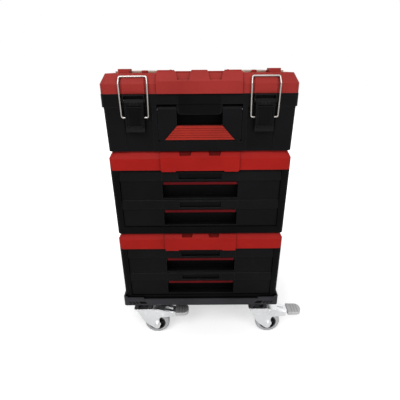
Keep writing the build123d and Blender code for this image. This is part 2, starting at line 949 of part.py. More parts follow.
def make_latch_ears():
    pivot_z = tub_z + lever_pivot
    ear_inner = lever_width / 2 + ear_play
    ears = []
    for sign in (-1, 1):
        pin_hole = rod(sign * latch_x, latch_pin_y, pivot_z, latch_pin_radius, 2 * lever_width, "X")
        for side in (-1, 1):
            x0, x1 = sorted((
                sign * latch_x + side * ear_inner,
                sign * latch_x + side * (ear_inner + ear_thick),
            ))
            ear = side_profile([
                (front_y, pivot_z - 9),
                (front_y - 3, pivot_z - 9),
                (front_y - 9, pivot_z - 4),
                (front_y - 9, pivot_z + 4),
                (front_y - 3, pivot_z + 8),
                (front_y, pivot_z + 8),
            ], x0, x1)
            ears.append(ear - pin_hole)
    return ears


def make_lever(sign):
    pivot_z = tub_z + lever_pivot
    back = front_y - 0.8
    face = back - lever_thick
    low = pivot_z - lever_drop
    half = lever_width / 2
    lever = side_profile([
        (back, low + 6),
        (back, pivot_z + 2),
        (back - 2.2, pivot_z + 3.9),
        (back - 6, pivot_z + 3.4),
        (face, pivot_z - 3),
        (face, low + 12),
        (face - 3, low + 2),
        (face - 2, low),
        (face + 3, low + 1),
    ], sign * latch_x - half, sign * latch_x + half)
    lever -= block(
        sign * latch_x - half + 4, sign * latch_x + half - 4, face - 1, face + 1.6,
        low + 14, pivot_z - 10,
    )
    hook_z = pivot_z - bail_pivot_drop
    for z, radius in ((pivot_z, latch_pin_radius), (hook_z, bail_radius)):
        lever -= rod(sign * latch_x, latch_pin_y, z, radius + fit_gap, lever_width + 2, "X")
    return lever


def make_latch_pins():
    length = lever_width + 2 * ear_play + 2 * ear_thick
    z = tub_z + lever_pivot
    return [rod(s * latch_x, latch_pin_y, z, latch_pin_radius, length, "X") for s in (-1, 1)]


def make_bail(sign):
    pin_y = latch_pin_y
    hook_z = tub_z + lever_pivot - bail_pivot_drop
    bar_z = hook_z + bail_height
    bend_z = lid_ridge + 1
    lean = lid_inset / lid_bevel
    bar_y = pin_y + lean * (bar_z - bend_z)
    half = bail_width / 2
    hook = lever_width / 2 - 4
    points = [
        (hook, pin_y, hook_z),
        (half - 1.5, pin_y, hook_z),
        (half, pin_y, bend_z),
        (half - 1.5, bar_y, bar_z),
        (-half + 1.5, bar_y, bar_z),
        (-half, pin_y, bend_z),
        (-half + 1.5, pin_y, hook_z),
        (-hook, pin_y, hook_z),
    ]
    path = FilletPolyline(*points, radius=4)
    profile = Plane(origin=path @ 0, z_dir=path % 0) * Circle(bail_radius)
    wire = sweep(profile, path=path)
    return Pos(sign * latch_x, 0, 0) * wire


def cover_axis(sign):
    """Where an organiser cover hinges: along the inner edge of its well."""
    x = sign * (well_x - well_width / 2 - cover_hinge_gap)
    return x, lid_top + body_clearance + cover_barrel


def make_cover(sign):
    axis_x, axis_z = cover_axis(sign)
    low = lid_top + body_clearance
    high = low + cover_rise
    outer = sign * (well_x + well_width / 2 + cover_margin)
    front = -well_length / 2 - cover_margin
    rear = well_length / 2 + cover_margin
    x0, x1 = min(axis_x, outer), max(axis_x, outer)
    cover = block(x0, x1, front, rear, low, high)
    rim = cover_thick
    cover -= block(x0 + 2 * rim, x1 - 2 * rim, front + rim, rear - rim, low - 1, high - rim)
    cover += rod(axis_x, 0, axis_z, cover_barrel, rear - front, "Y")
    cover += rod(axis_x, 0, axis_z, cover_pin_radius, rear - front + 8, "Y")
    return cover


def cover_lugs(sign):
    """The four-sided lugs on the lid that hold a cover's pegs."""
    axis_x, axis_z = cover_axis(sign)
    end = well_length / 2 + cover_margin + body_clearance
    lugs = []
    for side in (-1, 1):
        y0, y1 = sorted((side * end, side * (end + lug_length)))
        lug = block(axis_x - 3.5, axis_x + 3.5, y0, y1, lid_top - 1, axis_z + 3)
        lugs.append(lug - rod(axis_x, 0, axis_z, cover_pin_radius + fit_gap, 4 * end, "Y"))
    return lugs


def make_tote():
    width = body_width - 2 * (tub_margin + wall + tote_play)
    start = front_y + handle_recess_depth + finger_depth + wall + tote_setback
    end = rear_y - tub_margin - wall - tote_play
    low = tote_seat
    tote = block(-width / 2, width / 2, start, end, low, low + tote_height)
    tote -= block(
        -width / 2 + tray_wall, width / 2 - tray_wall, start + tray_wall, end - tray_wall,
        low + tray_wall, low + tote_height + 1,
    )
    return Pos(0, 0, tub_z) * tote


def build():
    nodes = {}
    corners = list(caster_turns)
    nodes["dolly_deck"] = make_deck()
    nodes["caster_plates"] = [placed(make_plate(), name, False) for name in corners]
    nodes["plate_bolts"] = [placed(b, name, False) for name in corners for b in make_bolts()]
    pieces = {
        "fork": make_fork(),
        "wheel_axle": make_axle(),
        "wheel_hub": make_hub(),
        "tyre": make_tyre(),
        "brake_pedal": make_pedal(),
        "pedal_pad": make_pad(),
    }
    for name in corners:
        for piece, shape in pieces.items():
            nodes[f"{name}_{piece}"] = placed(shape, name)
    shell = make_shell()
    cap = make_cap()
    for level, z in zip(("lower", "middle"), cabinet_z):
        nodes[f"{level}_shell"] = Pos(0, 0, z) * shell
        nodes[f"{level}_cap"] = Pos(0, 0, z) * cap
        for row, bottom in zip(("bottom", "top"), drawer_bottoms):
            label = f"{level}_{row}_drawer"
            nodes[f"{label}_front"] = Pos(0, 0, z) * make_drawer_front(bottom)
            nodes[f"{label}_tray"] = Pos(0, 0, z) * make_drawer_tray(bottom)
            nodes[f"{label}_strip"] = Pos(0, 0, z) * make_accent(bottom)
    nodes["top_tub"] = make_tub()
    nodes["top_lid"] = make_lid()
    nodes["lid_hinge_pins"] = make_hinge_pins()
    nodes["tote_tray"] = make_tote()
    nodes["carry_handle"] = make_handle()
    nodes["handle_grip"] = make_grip()
    nodes["handle_pins"] = make_handle_pins()
    nodes["latch_pins"] = make_latch_pins()
    nodes["latch_ears"] = make_latch_ears()
    for sign, hand in ((-1, "left"), (1, "right")):
        nodes[f"{hand}_latch_lever"] = make_lever(sign)
        nodes[f"{hand}_latch_bail"] = make_bail(sign)
        nodes[f"{hand}_organiser_cover"] = make_cover(sign)
    return nodes


os.makedirs("parts", exist_ok=True)
for node, shape in build().items():
    if isinstance(shape, list):
        shape = Compound(children=[s for part in shape for s in part.solids()])
    export_step(shape, f"parts/{node}.step")
    print(node)
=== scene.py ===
import bmesh
import bpy
import json
import math
from mathutils import Matrix, Vector


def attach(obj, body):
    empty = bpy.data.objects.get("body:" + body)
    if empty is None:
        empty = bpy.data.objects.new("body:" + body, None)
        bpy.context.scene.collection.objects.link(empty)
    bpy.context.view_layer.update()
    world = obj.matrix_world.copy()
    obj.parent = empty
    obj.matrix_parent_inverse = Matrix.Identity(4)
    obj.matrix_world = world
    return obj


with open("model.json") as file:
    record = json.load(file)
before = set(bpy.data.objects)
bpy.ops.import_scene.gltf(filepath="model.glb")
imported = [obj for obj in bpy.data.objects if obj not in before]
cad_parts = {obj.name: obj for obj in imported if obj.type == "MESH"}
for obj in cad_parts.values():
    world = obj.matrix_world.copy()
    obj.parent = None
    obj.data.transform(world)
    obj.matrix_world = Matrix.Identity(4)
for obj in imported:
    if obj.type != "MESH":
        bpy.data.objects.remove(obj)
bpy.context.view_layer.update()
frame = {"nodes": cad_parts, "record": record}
nodes = frame["nodes"]
corners = ("front_left", "front_right", "rear_left", "rear_right")
levels = ("lower", "middle")
rows = ("bottom", "top")
mm = 0.001
frontPlane = -180  # y of the boxes' front, in millimetres


# Node helpers

def addNode(tree, kind, x, y, **values):
    node = tree.nodes.new(kind)
    node.location = (x, y)
    for key, value in values.items():
        setattr(node, key, value)
    return node


def setInputs(node, **values):
    for key, value in values.items():
        node.inputs[key.replace("_", " ")].default_value = value


def newGroup(name, inputs, outputs):
    group = bpy.data.node_groups.new(name, "ShaderNodeTree")
    for label, kind, value in inputs:
        socket = group.interface.new_socket(label, in_out="INPUT", socket_type=kind)
        if value is not None:
            socket.default_value = value
    for label, kind in outputs:
        group.interface.new_socket(label, in_out="OUTPUT", socket_type=kind)
    start = addNode(group, "NodeGroupInput", -900, 0)
    return group, start, addNode(group, "NodeGroupOutput", 700, 0)


def mathNode(tree, operation, first, second, x, y, clamp=False):
    node = addNode(tree, "ShaderNodeMath", x, y, operation=operation, use_clamp=clamp)
    for slot, value in enumerate((first, second)):
        if isinstance(value, bpy.types.NodeSocket):
            tree.links.new(value, node.inputs[slot])
        else:
            node.inputs[slot].default_value = value
    return node.outputs[0]


def mixColour(tree, factor, first, second, x, y, blend="MIX"):
    node = addNode(tree, "ShaderNodeMix", x, y, data_type="RGBA", blend_type=blend)
    for slot, value in ((0, factor), (6, first), (7, second)):
        if isinstance(value, bpy.types.NodeSocket):
            tree.links.new(value, node.inputs[slot])
        elif slot == 0:
            node.inputs[slot].default_value = value
        else:
            node.inputs[slot].default_value = (*value, 1)
    return node.outputs[2]


# Rounded edge normals, and a mask that is 1 on outer edges, for rubbed edges with a painted
# highlight
def buildEdgeField():
    group, start, end = newGroup(
        "edgeField",
        [("Radius", "NodeSocketFloat", 0.0008)],
        [("Normal", "NodeSocketVector"), ("WearAndHighlight", "NodeSocketFloat")],
    )
    bevel = addNode(group, "ShaderNodeBevel", -600, 0, samples=4)
    flat = addNode(group, "ShaderNodeNewGeometry", -600, -250)
    dot = addNode(group, "ShaderNodeVectorMath", -300, -100, operation="DOT_PRODUCT")
    wearAndHighlight = addNode(group, "ShaderNodeMapRange", 0, -100)
    setInputs(wearAndHighlight, From_Min=0.995, From_Max=0.86, To_Min=0.0, To_Max=1.0)
    group.links.new(start.outputs["Radius"], bevel.inputs["Radius"])
    group.links.new(bevel.outputs["Normal"], dot.inputs[0])
    group.links.new(flat.outputs["Normal"], dot.inputs[1])
    group.links.new(dot.outputs["Value"], wearAndHighlight.inputs["Value"])
    group.links.new(bevel.outputs["Normal"], end.inputs["Normal"])
    group.links.new(wearAndHighlight.outputs["Result"], end.inputs["WearAndHighlight"])
    return group


# Fine moulded grain as a bumped normal, with wide patches and small specks as masks
def buildGrainField():
    group, start, end = newGroup(
        "grainField",
        [
            ("Scale", "NodeSocketFloat", 900.0),
            ("Height", "NodeSocketFloat", 0.2),
            ("Normal", "NodeSocketVector", None),
        ],
        [
            ("Normal", "NodeSocketVector"),
            ("Patches", "NodeSocketFloat"),
            ("Specks", "NodeSocketFloat"),
        ],
    )
    place = addNode(group, "ShaderNodeTexCoord", -900, -300)
    grain = addNode(group, "ShaderNodeTexNoise", -600, 0)
    setInputs(grain, Detail=3.0, Roughness=0.6)
    patches = addNode(group, "ShaderNodeTexNoise", -600, -250)
    setInputs(patches, Scale=9.0, Detail=4.0, Roughness=0.55)
    specks = addNode(group, "ShaderNodeTexNoise", -600, -500)
    setInputs(specks, Scale=420.0, Detail=2.0, Roughness=0.7)
    bump = addNode(group, "ShaderNodeBump", -100, 0)
    bump.inputs["Distance"].default_value = 0.0004
    for texture in (grain, patches, specks):
        group.links.new(place.outputs["Object"], texture.inputs["Vector"])
    group.links.new(start.outputs["Scale"], grain.inputs["Scale"])
    group.links.new(start.outputs["Height"], bump.inputs["Strength"])
    group.links.new(start.outputs["Normal"], bump.inputs["Normal"])
    group.links.new(grain.outputs["Fac"], bump.inputs["Height"])
    spread = addNode(group, "ShaderNodeMapRange", -300, -250)
    setInputs(spread, From_Min=0.35, From_Max=0.65, To_Min=0.0, To_Max=1.0)
    group.links.new(patches.outputs["Fac"], spread.inputs["Value"])
    sharp = addNode(group, "ShaderNodeMapRange", -300, -500)
    setInputs(sharp, From_Min=0.66, From_Max=0.74, To_Min=0.0, To_Max=1.0)
    group.links.new(specks.outputs["Fac"], sharp.inputs["Value"])
    group.links.new(bump.outputs["Normal"], end.inputs["Normal"])
    group.links.new(spread.outputs["Result"], end.inputs["Patches"])
    group.links.new(sharp.outputs["Result"], end.inputs["Specks"])
    return group


# A mask of fine dust that settles on faces turned upwards
def buildDustField():
    group, start, end = newGroup(
        "dustField",
        [("Amount", "NodeSocketFloat", 0.2)],
        [("Dust", "NodeSocketFloat")],
    )
    shape = addNode(group, "ShaderNodeNewGeometry", -600, 0)
    split = addNode(group, "ShaderNodeSeparateXYZ", -400, 0)
    place = addNode(group, "ShaderNodeTexCoord", -800, -250)
    noise = addNode(group, "ShaderNodeTexNoise", -600, -250)
    setInputs(noise, Scale=34.0, Detail=6.0, Roughness=0.7)
    group.links.new(shape.outputs["Normal"], split.inputs[0])
    group.links.new(place.outputs["Object"], noise.inputs["Vector"])
    upward = mathNode(group, "MULTIPLY", split.outputs["Z"], 1.0, -200, 0, True)
    lifted = mathNode(group, "MULTIPLY", upward, noise.outputs["Fac"], 0, 0)
    amount = mathNode(group, "MULTIPLY", lifted, start.outputs["Amount"], 200, 0, True)
    group.links.new(amount, end.inputs["Dust"])
    return group


# A mask that falls from 1 in the open to 0 deep in slots and recesses; the looks use it to paint
# shade there
def buildRecessShadeField():
    group, start, end = newGroup(
        "recessShadeField",
        [("Reach", "NodeSocketFloat", 0.05)],
        [("Open", "NodeSocketFloat")],
    )
    shade = addNode(group, "ShaderNodeAmbientOcclusion", -400, 0, samples=6)
    spread = addNode(group, "ShaderNodeMapRange", 0, 0)
    setInputs(spread, From_Min=0.3, From_Max=0.85, To_Min=0.0, To_Max=1.0)
    group.links.new(start.outputs["Reach"], shade.inputs["Distance"])
    group.links.new(shade.outputs["AO"], spread.inputs["Value"])
    group.links.new(spread.outputs["Result"], end.inputs["Open"])
    return group


recessShadeField = buildRecessShadeField()
edgeField = buildEdgeField()
grainField = buildGrainField()
dustField = buildDustField()
dustColour = (0.6, 0.58, 0.55)


def newMaterial(name):
    material = bpy.data.materials.new(name)
    material.use_nodes = True
    tree = material.node_tree
    tree.nodes.clear()
    output = addNode(tree, "ShaderNodeOutputMaterial", 900, 0)
    shader = addNode(tree, "ShaderNodeBsdfPrincipled", 600, 0)
    tree.links.new(shader.outputs[0], output.inputs["Surface"])
    return material, tree, shader


def groupNode(tree, group, x, y, **values):
    node = addNode(tree, "ShaderNodeGroup", x, y, node_tree=group)
    setInputs(node, **values)
    return node


# Moulded plastic or rubber with grain, rubbed edges with a painted edge highlight, colour patches,
# a little dust and, where asked, painted shade in recesses
def moulded(name, colour, roughness=0.5, specular=0.3, radius=0.0008, grain=900.0, height=0.2,
            wearAndHighlight=0.25, wearAndHighlightColour=None, dust=0.05, spread=0.18, recessShade=0.0, reach=0.05):
    material, tree, shader = newMaterial(name)
    edge = groupNode(tree, edgeField, -700, -100, Radius=radius)
    field = groupNode(tree, grainField, -450, -100, Scale=grain, Height=height)
    tree.links.new(edge.outputs["Normal"], field.inputs["Normal"])
    dusty = groupNode(tree, dustField, -450, -400, Amount=dust)
    lighter = tuple(min(1.0, c * (1 + spread) + 0.001) for c in colour)
    darker = tuple(c * (1 - spread) for c in colour)
    wearAndHighlightColour = wearAndHighlightColour or tuple(min(1.0, c * 1.6 + 0.02) for c in colour)
    base = mixColour(tree, field.outputs["Patches"], darker, lighter, -150, 150)
    # painted highlight and rubbing: outer edges are lightened, as wear and as light caught on
    # rounded edges
    wornAndLit = mathNode(tree, "MULTIPLY", edge.outputs["WearAndHighlight"], wearAndHighlight, -150, 0, True)
    base = mixColour(tree, wornAndLit, base, wearAndHighlightColour, 50, 150)
    base = mixColour(tree, dusty.outputs["Dust"], base, dustColour, 250, 150)
    # painted shade: the base colour is darkened in slots, recesses and under overhangs
    if recessShade:
        hollow = groupNode(tree, recessShadeField, -450, -650, Reach=reach)
        open_ = mathNode(tree, "MULTIPLY_ADD", hollow.outputs["Open"], recessShade, -150, -650)
        open_.node.inputs[2].default_value = 1 - recessShade
        base = mixColour(tree, 1.0, base, open_, 400, 150, "MULTIPLY")
    tree.links.new(base, shader.inputs["Base Color"])
    rough = mathNode(tree, "MULTIPLY_ADD", field.outputs["Patches"], 0.12, 250, -100)
    rough.node.inputs[2].default_value = roughness - 0.06
    tree.links.new(rough, shader.inputs["Roughness"])
    tree.links.new(field.outputs["Normal"], shader.inputs["Normal"])
    shader.inputs["Specular IOR Level"].default_value = specular
    return material


# Plated or drawn metal with faint streaks, cloudy patches and brighter edges, rubbed and with a
# painted highlight
def plated(name, colour, roughness=0.3, radius=0.0006, streak=60.0, height=0.06, wearAndHighlight=0.3):
    material, tree, shader = newMaterial(name)
    edge = groupNode(tree, edgeField, -700, -100, Radius=radius)
    field = groupNode(tree, grainField, -450, -100, Scale=streak, Height=height)
    tree.links.new(edge.outputs["Normal"], field.inputs["Normal"])
    darker = tuple(c * 0.86 for c in colour)
    bright = tuple(min(1.0, c * 1.15) for c in colour)
    base = mixColour(tree, field.outputs["Patches"], darker, colour, -150, 150)
    # painted highlight and rubbing: edges are brightened, as wear and as light caught on rounded
    # edges
    wornAndLit = mathNode(tree, "MULTIPLY", edge.outputs["WearAndHighlight"], wearAndHighlight, -150, 0, True)
    base = mixColour(tree, wornAndLit, base, bright, 50, 150)
    tree.links.new(base, shader.inputs["Base Color"])
    rough = mathNode(tree, "MULTIPLY_ADD", field.outputs["Patches"], 0.14, 250, -100)
    rough.node.inputs[2].default_value = roughness - 0.07
    tree.links.new(rough, shader.inputs["Roughness"])
    tree.links.new(field.outputs["Normal"], shader.inputs["Normal"])
    shader.inputs["Metallic"].default_value = 1.0
    return material


# Tinted see-through moulding with a fine grain
def clearPlastic(name, colour, roughness=0.22, transmission=0.45):
    material, tree, shader = newMaterial(name)
    edge = groupNode(tree, edgeField, -700, -100, Radius=0.0006)
    field = groupNode(tree, grainField, -450, -100, Scale=300.0, Height=0.1)
    tree.links.new(edge.outputs["Normal"], field.inputs["Normal"])
    darker = tuple(c * 0.85 for c in colour)
    base = mixColour(tree, field.outputs["Patches"], darker, colour, -150, 150)
    tree.links.new(base, shader.inputs["Base Color"])
    tree.links.new(field.outputs["Normal"], shader.inputs["Normal"])
    rough = mathNode(tree, "MULTIPLY_ADD", field.outputs["Patches"], 0.1, 250, -100)
    rough.node.inputs[2].default_value = roughness - 0.05
    tree.links.new(rough, shader.inputs["Roughness"])
    shader.inputs["Transmission Weight"].default_value = transmission
    shader.inputs["IOR"].default_value = 1.46
    return material


print("stage: materials")
# Each look below sets how strongly its edges are lit by a painted highlight along with rubbing, and
# how much painted shade darkens its recesses
looks = {
    "black_plastic": moulded(
        "blackPlastic", (0.0032, 0.0032, 0.0038), 0.5, 0.07, radius=0.001,
        wearAndHighlight=0.55, wearAndHighlightColour=(0.07, 0.07, 0.074), dust=0.02, recessShade=0.85,
    ),
    "red_plastic": moulded(
        "redPlastic", (0.37, 0.011, 0.008), 0.5, 0.09, radius=0.0012,
        wearAndHighlight=0.5, wearAndHighlightColour=(0.6, 0.035, 0.024), dust=0.02, spread=0.08, recessShade=0.4,
    ),
    "lid_plastic": moulded(
        "lidPlastic", (0.34, 0.028, 0.023), 0.54, 0.12, radius=0.0012,
        wearAndHighlight=0.5, wearAndHighlightColour=(0.56, 0.08, 0.055), dust=0.02, spread=0.08, recessShade=0.4,
    ),
    "accent_plastic": moulded("accentPlastic", (0.11, 0.002, 0.004), 0.42, 0.06, radius=0.0005),
    "grip_rubber": moulded(
        "gripRubber", (0.36, 0.022, 0.013), 0.6, 0.16, radius=0.0004, wearAndHighlight=0.2, recessShade=0.4,
    ),
    "dolly_plastic": moulded(
        "dollyPlastic", (0.029, 0.029, 0.034), 0.52, 0.15,
        wearAndHighlightColour=(0.09, 0.09, 0.1), recessShade=0.6,
    ),
    "zinc_plate": plated("zincPlate", (0.93, 0.94, 0.95), 0.3),
    "chrome_wire": plated("chromeWire", (0.5, 0.465, 0.44), 0.24, 0.0003),
    "hub_plastic": moulded("hubPlastic", (0.02, 0.021, 0.021), 0.5, 0.25, recessShade=0.6),
    "grey_rubber": moulded("greyRubber", (0.5, 0.5, 0.51), 0.62, 0.2, wearAndHighlight=0.15),
    # painted shade: the pad is darkened more, and further out, where it sits under the dolly
    "pedal_plastic": moulded(
        "pedalPlastic", (0.6, 0.6, 0.6), 0.5, 0.25, recessShade=0.75, reach=0.1,
    ),
    "amber_cover": clearPlastic("amberCover", (0.62, 0.44, 0.32)),
}
# painted shade: a darker black, without rubbed edges or dust, for sheets set deep in recesses in
# place of their shade
paintedShadeBlack = moulded("paintedShadeBlack", (0.0016, 0.0016, 0.002), 0.4, 0.06, wearAndHighlight=0.0, dust=0.0)
# painted shade: a dark red for sheets on the cap notches' floors, in place of their shade
notchShadeRed = moulded("notchShadeRed", (0.11, 0.004, 0.003), 0.55, 0.05, wearAndHighlight=0.0, dust=0.0)
shellBlack = moulded(
    "shellBlack", (0.002, 0.002, 0.0024), 0.48, 0.05,
    wearAndHighlight=0.3, wearAndHighlightColour=(0.04, 0.04, 0.043), dust=0.02, recessShade=0.85,
)
for row in frame["record"]["subparts"]:
    mesh = nodes[row["node"]].data
    mesh.materials.clear()
    mesh.materials.append(looks[row["material_slot"]])
for level in levels:
    nodes[f"{level}_shell"].data.materials[0] = shellBlack


# Stage, camera and lights

print("stage: camera and lights")
view = {
    "frontFace": frontPlane * mm,
    "distance": 0.7745,
    "height": 0.815,
    "side": -0.0007,
    "pitch": 22.97,
    "roll": 0.4,
    "focalPixels": 313.7,
    "picturePixels": 400,
    "sensor": 36.0,
    "farClip": 30,
}
cameraData = bpy.data.cameras.new("camera")
cameraData.sensor_width = view["sensor"]
cameraData.lens = view["focalPixels"] / view["picturePixels"] * view["sensor"]
cameraData.clip_end = view["farClip"]
camera = bpy.data.objects.new("camera", cameraData)
turn = Matrix.Rotation(math.radians(90 - view["pitch"]), 4, "X")
turn @= Matrix.Rotation(math.radians(-view["roll"]), 4, "Z")
spot = Vector((view["side"], view["frontFace"] - view["distance"], view["height"]))
camera.matrix_world = Matrix.Translation(spot) @ turn
bpy.context.scene.collection.objects.link(camera)
bpy.context.scene.camera = camera
bpy.context.scene.view_settings.view_transform = "Standard"


def addLight(name, place, target, size, power):
    data = bpy.data.lights.new(name, "AREA")
    data.shape = "RECTANGLE"
    data.size, data.size_y = size
    data.energy = power
    light = bpy.data.objects.new(name, data)
    aim = (Vector(target) - Vector(place)).to_track_quat("-Z", "Y")
    light.matrix_world = Matrix.Translation(Vector(place)) @ aim.to_matrix().to_4x4()
    bpy.context.scene.collection.objects.link(light)


studio = {
    "ambient": 0.3,
    "floorNear": 0.5,
    "floorFar": 1.0,
    "floorMirrored": 0.2,
    "floorHalf": 6,
    "fadeStart": 0.25,
    "fadeEnd": 1.1,
    "keyPlace": (-0.9, -1.9, 2.3),
    "keySize": (1.3, 1.3),
    "keyPower": 30,
    "fillPlace": (1.3, -1.9, 1.5),
    "fillSize": (1.4, 1.4),
    "fillPower": 14,
    "topPlace": (0.0, 0.3, 2.6),
    "topSize": (1.6, 1.6),
    "topPower": 9,
    "target": (0, 0, 0.45),
}
for name in ("key", "fill", "top"):
    addLight(
        f"{name}Light", studio[f"{name}Place"], studio["target"],
        studio[f"{name}Size"], studio[f"{name}Power"],
    )


# 1 for rays straight to the camera, and the given share for mirrored ones and those through glass
def seenRays(tree, path, share, x, y):
    mirrored, through = path.outputs["Is Glossy Ray"], path.outputs["Is Transmission Ray"]
    other = mathNode(tree, "MAXIMUM", mirrored, through, x, y)
    dimmed = mathNode(tree, "MULTIPLY", other, share, x, y - 150)
    return mathNode(tree, "MAXIMUM", path.outputs["Is Camera Ray"], dimmed, x + 150, y)


world = bpy.data.worlds.new("studioWorld")
bpy.context.scene.world = world
world.use_nodes = True
worldTree = world.node_tree
worldTree.nodes.clear()
worldOut = addNode(worldTree, "ShaderNodeOutputWorld", 400, 0)
worldMix = addNode(worldTree, "ShaderNodeMixShader", 200, 0)
worldPath = addNode(worldTree, "ShaderNodeLightPath", -200, 200)
worldSoft = addNode(worldTree, "ShaderNodeBackground", -200, 0)
setInputs(worldSoft, Color=(1, 1, 1, 1), Strength=studio["ambient"])
worldWhite = addNode(worldTree, "ShaderNodeBackground", -200, -200)
setInputs(worldWhite, Color=(1, 1, 1, 1), Strength=1.0)
worldTree.links.new(seenRays(worldTree, worldPath, 1.0, 0, 250), worldMix.inputs[0])
worldTree.links.new(worldSoft.outputs[0], worldMix.inputs[1])
worldTree.links.new(worldWhite.outputs[0], worldMix.inputs[2])
worldTree.links.new(worldMix.outputs[0], worldOut.inputs["Surface"])


def buildFloor():
    bm = bmesh.new()
    bmesh.ops.create_grid(bm, x_segments=1, y_segments=1, size=studio["floorHalf"])
    mesh = bpy.data.meshes.new("floor")
    bm.to_mesh(mesh)
    bm.free()
    floor = bpy.data.objects.new("floor", mesh)
    bpy.context.scene.collection.objects.link(floor)
    material, tree, shader = newMaterial("paleFloor")
    field = groupNode(tree, grainField, -450, -100, Scale=40.0, Height=0.02)
    tone = mixColour(
        tree, field.outputs["Patches"], (0.93, 0.93, 0.93), (0.95, 0.95, 0.95), -150, 150,
    )
    tree.links.new(tone, shader.inputs["Base Color"])
    shader.inputs["Roughness"].default_value = 0.9
    shader.inputs["Specular IOR Level"].default_value = 0.1
    path = addNode(tree, "ShaderNodeLightPath", 100, 300)
    place = addNode(tree, "ShaderNodeTexCoord", -450, 500)
    reach = addNode(tree, "ShaderNodeVectorMath", -250, 500, operation="LENGTH")
    tree.links.new(place.outputs["Object"], reach.inputs[0])
    fade = addNode(tree, "ShaderNodeMapRange", -50, 500)
    setInputs(fade, From_Min=studio["fadeStart"], From_Max=studio["fadeEnd"])
    setInputs(fade, To_Min=studio["floorNear"], To_Max=studio["floorFar"])
    tree.links.new(reach.outputs["Value"], fade.inputs["Value"])
    seen = seenRays(tree, path, studio["floorMirrored"], 150, 450)
    glow = mathNode(tree, "MULTIPLY", seen, fade.outputs["Result"], 350, 300)
    setInputs(shader, Emission_Color=(1, 1, 1, 1))
    tree.links.new(glow, shader.inputs["Emission Strength"])
    mesh.materials.append(material)


buildFloor()


# Small pieces that the solids leave out

def makePiece(name, bm, slot, body, look=None):
    bmesh.ops.recalc_face_normals(bm, faces=bm.faces[:])
    mesh = bpy.data.meshes.new(name)
    bm.to_mesh(mesh)
    bm.free()
    mesh.materials.append(look or looks[slot])
    piece = bpy.data.objects.new(name, mesh)
    bpy.context.scene.collection.objects.link(piece)
    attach(piece, body)


# A block between two corners in millimetres, with its edges rounded
def addBlock(bm, low, high, rounding=0.0, segments=2):
    low, high = Vector(low) * mm, Vector(high) * mm
    made = bmesh.ops.create_cube(bm, size=1)["verts"]
    bmesh.ops.scale(bm, vec=high - low, verts=made)
    bmesh.ops.translate(bm, vec=(low + high) / 2, verts=made)
    if rounding:
        edges = list({edge for vert in made for edge in vert.link_edges})
        bmesh.ops.bevel(
            bm, geom=edges, offset=rounding * mm, offset_type="OFFSET", segments=segments,
            profile=0.5, affect="EDGES", material=-1,
        )


rimAngle = 0.8  # radians, above which an edge of a ring counts as a rim


# A flat ring in millimetres, centred on a point, with its axis along a direction
def addRing(bm, centre, outer, inner, thick, axis, segments=40, bevel=0.0):
    turn = Vector((0, 0, 1)).rotation_difference(Vector(axis)).to_matrix().to_4x4()
    place = Matrix.Translation(Vector(centre) * mm) @ turn
    profile = bmesh.new()
    corners = [(inner, -thick / 2), (outer, -thick / 2), (outer, thick / 2), (inner, thick / 2)]
    verts = [profile.verts.new((x * mm, 0, z * mm)) for x, z in corners]
    edges = [profile.edges.new((verts[i], verts[(i + 1) % 4])) for i in range(4)]
    bmesh.ops.spin(
        profile, geom=verts + edges, cent=(0, 0, 0), axis=(0, 0, 1), dvec=(0, 0, 0),
        angle=math.tau, steps=segments, use_merge=True,
    )
    if bevel:
        shared = [edge for edge in profile.edges if len(edge.link_faces) == 2]
        rims = [edge for edge in shared if edge.calc_face_angle(0) > rimAngle]
        bmesh.ops.bevel(
            profile, geom=rims, offset=bevel * mm, offset_type="OFFSET", segments=2,
            profile=0.5, affect="EDGES", material=-1,
        )
    bmesh.ops.transform(profile, matrix=place, verts=profile.verts)
    mesh = bpy.data.meshes.new("ringPart")
    profile.to_mesh(mesh)
    profile.free()
    bm.from_mesh(mesh)
    bpy.data.meshes.remove(mesh)


# A thin slab in millimetres, from a flat outline pushed back along y
def addSlab(bm, outline, depth):
    face = bm.faces.new([bm.verts.new(Vector(point) * mm) for point in outline])
    made = bmesh.ops.extrude_face_region(bm, geom=[face])["geom"]
    verts = [item for item in made if isinstance(item, bmesh.types.BMVert)]
    bmesh.ops.translate(bm, vec=(0, depth * mm, 0), verts=verts)


panHead = {"segments": 24, "topShare": 0.82, "socketInset": 0.45, "socketDepth": 0.5}


# A round screw head in millimetres, a short drum with a sloped side and a socket
def addPanHead(bm, centre, radius, height, axis):
    turn = Vector((0, 0, 1)).rotation_difference(Vector(axis)).to_matrix().to_4x4()
    place = Matrix.Translation(Vector(centre) * mm) @ turn
    part = bmesh.new()
    bmesh.ops.create_cone(
        part, cap_ends=True, segments=panHead["segments"], radius1=radius * mm,
        radius2=radius * panHead["topShare"] * mm, depth=height * mm,
    )
    top = max(part.faces, key=lambda face: face.calc_center_median().z)
    bmesh.ops.inset_region(
        part, faces=[top], thickness=radius * panHead["socketInset"] * mm, depth=0,
    )
    bmesh.ops.translate(part, vec=(0, 0, -height * panHead["socketDepth"] * mm), verts=top.verts)
    bmesh.ops.transform(part, matrix=place, verts=part.verts)
    mesh = bpy.data.meshes.new("headPart")
    part.to_mesh(mesh)
    part.free()
    bm.from_mesh(mesh)
    bpy.data.meshes.remove(mesh)


# A rounded bead along points in millimetres
def addBead(name, points, radius, slot, body, closed=False):
    curve = bpy.data.curves.new(name, "CURVE")
    curve.dimensions = "3D"
    curve.bevel_depth = radius * mm
    curve.bevel_resolution = 3
    line = curve.splines.new("POLY")
    line.points.add(len(points) - 1)
    for point, place in zip(line.points, points):
        point.co = (*(Vector(place) * mm), 1)
    line.use_cyclic_u = closed
    curve.use_fill_caps = not closed
    curve.materials.append(looks[slot])
    piece = bpy.data.objects.new(name, curve)
    bpy.context.scene.collection.objects.link(piece)
    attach(piece, body)


